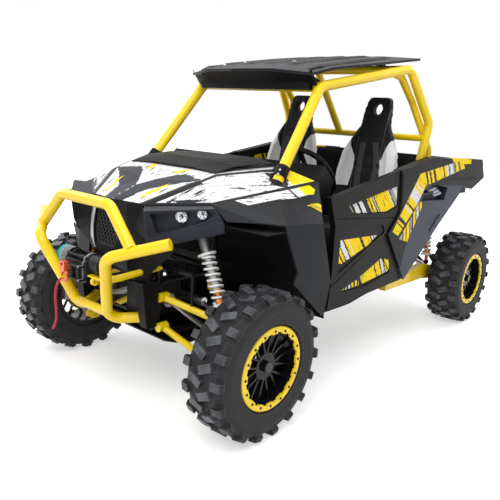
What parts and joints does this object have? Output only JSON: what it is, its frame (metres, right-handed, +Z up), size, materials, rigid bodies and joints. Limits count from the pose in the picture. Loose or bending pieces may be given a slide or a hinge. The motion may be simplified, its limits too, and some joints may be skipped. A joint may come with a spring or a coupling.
{
  "type": "side by side utility vehicle",
  "caption": "Open sport side by side utility vehicle with a tube roll cage, roof, doors, cargo bed, long travel suspension and mud tyres.",
  "frame": {"origin": "on the ground, at the middle of the vehicle's length and width", "axes": "+X to the vehicle's left, +Y to its rear, +Z up"},
  "size_m": [1.67, 3.2333, 1.8816],
  "materials": {
    "cage_yellow": "gloss yellow powder coat",
    "frame_black": "satin black powder coat",
    "body_black": "fine grained black plastic",
    "body_graphite": "dark graphite plastic",
    "hood_white": "white panel with black and yellow stripes",
    "tyre": "mud tyre rubber",
    "rim_black": "gloss black",
    "ring_yellow": "yellow anodised",
    "steel": "bare steel",
    "cast": "cast metal",
    "spring_white": "white coil",
    "seat": "black and white seat cover",
    "hook_orange": "orange red",
    "lamp": "clear lamp",
    "lamp_red": "red lens"
  },
  "bodies": {
    "chassis": {"frame_base": "frame_black", "arm_pickups": "frame_black", "frame_front": "frame_black", "frame_rear": "frame_black", "skid_plate": "body_black", "floor_pan": "body_black", "roll_cage": "cage_yellow", "roof": "body_black", "roof_header": "body_black", "hood": "hood_white", "cowl_cap": "body_black", "front_fenders": "body_graphite", "fender_liners": "body_black", "nose_fascia": "body_black", "grille_mesh": "body_black", "headlamps": "body_graphite", "front_bumper": "cage_yellow", "winch": "frame_black", "winch_hook": "hook_orange", "rockers": "body_black", "quarter_panels": "body_graphite", "cargo_bed": "body_black", "tail_lamps": "lamp_red", "dash": "body_black", "steering_column": "frame_black", "seats": "seat", "console": "body_black", "engine_block": "cast", "muffler": "steel", "front_differential": "cast", "radiator": "cast", "front_arms": "cage_yellow", "front_shocks": "spring_white", "rear_shocks": "spring_white", "trailing_arms": "cage_yellow", "radius_rods": "frame_black", "half_shafts": "steel", "steering_rack": "steel", "sway_bar": "frame_black"},
    "steering_wheel": {"steering_wheel": "body_black"},
    "door_left": {"door_left": "body_black"},
    "knuckle_left": {"knuckle_left": "cast"},
    "wheel_front_left": {"tyre_front_left": "tyre", "rim_front_left": "rim_black", "beadlock_front_left": "ring_yellow"},
    "wheel_rear_left": {"tyre_rear_left": "tyre", "rim_rear_left": "rim_black", "beadlock_rear_left": "ring_yellow"},
    "door_right": {"door_right": "body_black"},
    "knuckle_right": {"knuckle_right": "cast"},
    "wheel_front_right": {"tyre_front_right": "tyre", "rim_front_right": "rim_black", "beadlock_front_right": "ring_yellow"},
    "wheel_rear_right": {"tyre_rear_right": "tyre", "rim_rear_right": "rim_black", "beadlock_rear_right": "ring_yellow"}
  },
  "joints": [
    {"name": "steer_left", "type": "hinge", "parent": "chassis", "child": "knuckle_left", "pos_m": [0.612, -1.127, 0.343], "axis": [0, 0, 1], "range_deg": [-28, 28]},
    {"name": "steer_right", "type": "hinge", "parent": "chassis", "child": "knuckle_right", "pos_m": [-0.612, -1.127, 0.343], "axis": [0, 0, 1], "range_deg": [-28, 28]},
    {"name": "steering_wheel_turn", "type": "hinge", "parent": "chassis", "child": "steering_wheel", "pos_m": [0.32, -0.307, 1.125], "axis": [0, 0.8192, 0.5736], "range_deg": [-270, 270]},
    {"name": "roll_front_left", "type": "hinge", "parent": "knuckle_left", "child": "wheel_front_left", "pos_m": [0.716, -1.127, 0.343], "axis": [1, 0, 0], "continuous": true},
    {"name": "roll_rear_left", "type": "hinge", "parent": "chassis", "child": "wheel_rear_left", "pos_m": [0.666, 1.273, 0.343], "axis": [1, 0, 0], "continuous": true},
    {"name": "roll_front_right", "type": "hinge", "parent": "knuckle_right", "child": "wheel_front_right", "pos_m": [-0.716, -1.127, 0.343], "axis": [1, 0, 0], "continuous": true},
    {"name": "roll_rear_right", "type": "hinge", "parent": "chassis", "child": "wheel_rear_right", "pos_m": [-0.666, 1.273, 0.343], "axis": [1, 0, 0], "continuous": true},
    {"name": "door_left_hinge", "type": "hinge", "parent": "chassis", "child": "door_left", "pos_m": [0.694, 0.131, 0.96], "axis": [0, 0, 1], "range_deg": [0, 75]},
    {"name": "door_right_hinge", "type": "hinge", "parent": "chassis", "child": "door_right", "pos_m": [-0.694, 0.131, 0.96], "axis": [0, 0, -1], "range_deg": [0, 75]}
  ],
  "couplings": [
    {"joint": "steer_right", "follows": "steer_left", "ratio": 1},
    {"joint": "steering_wheel_turn", "follows": "steer_left", "ratio": 9.6}
  ]
}
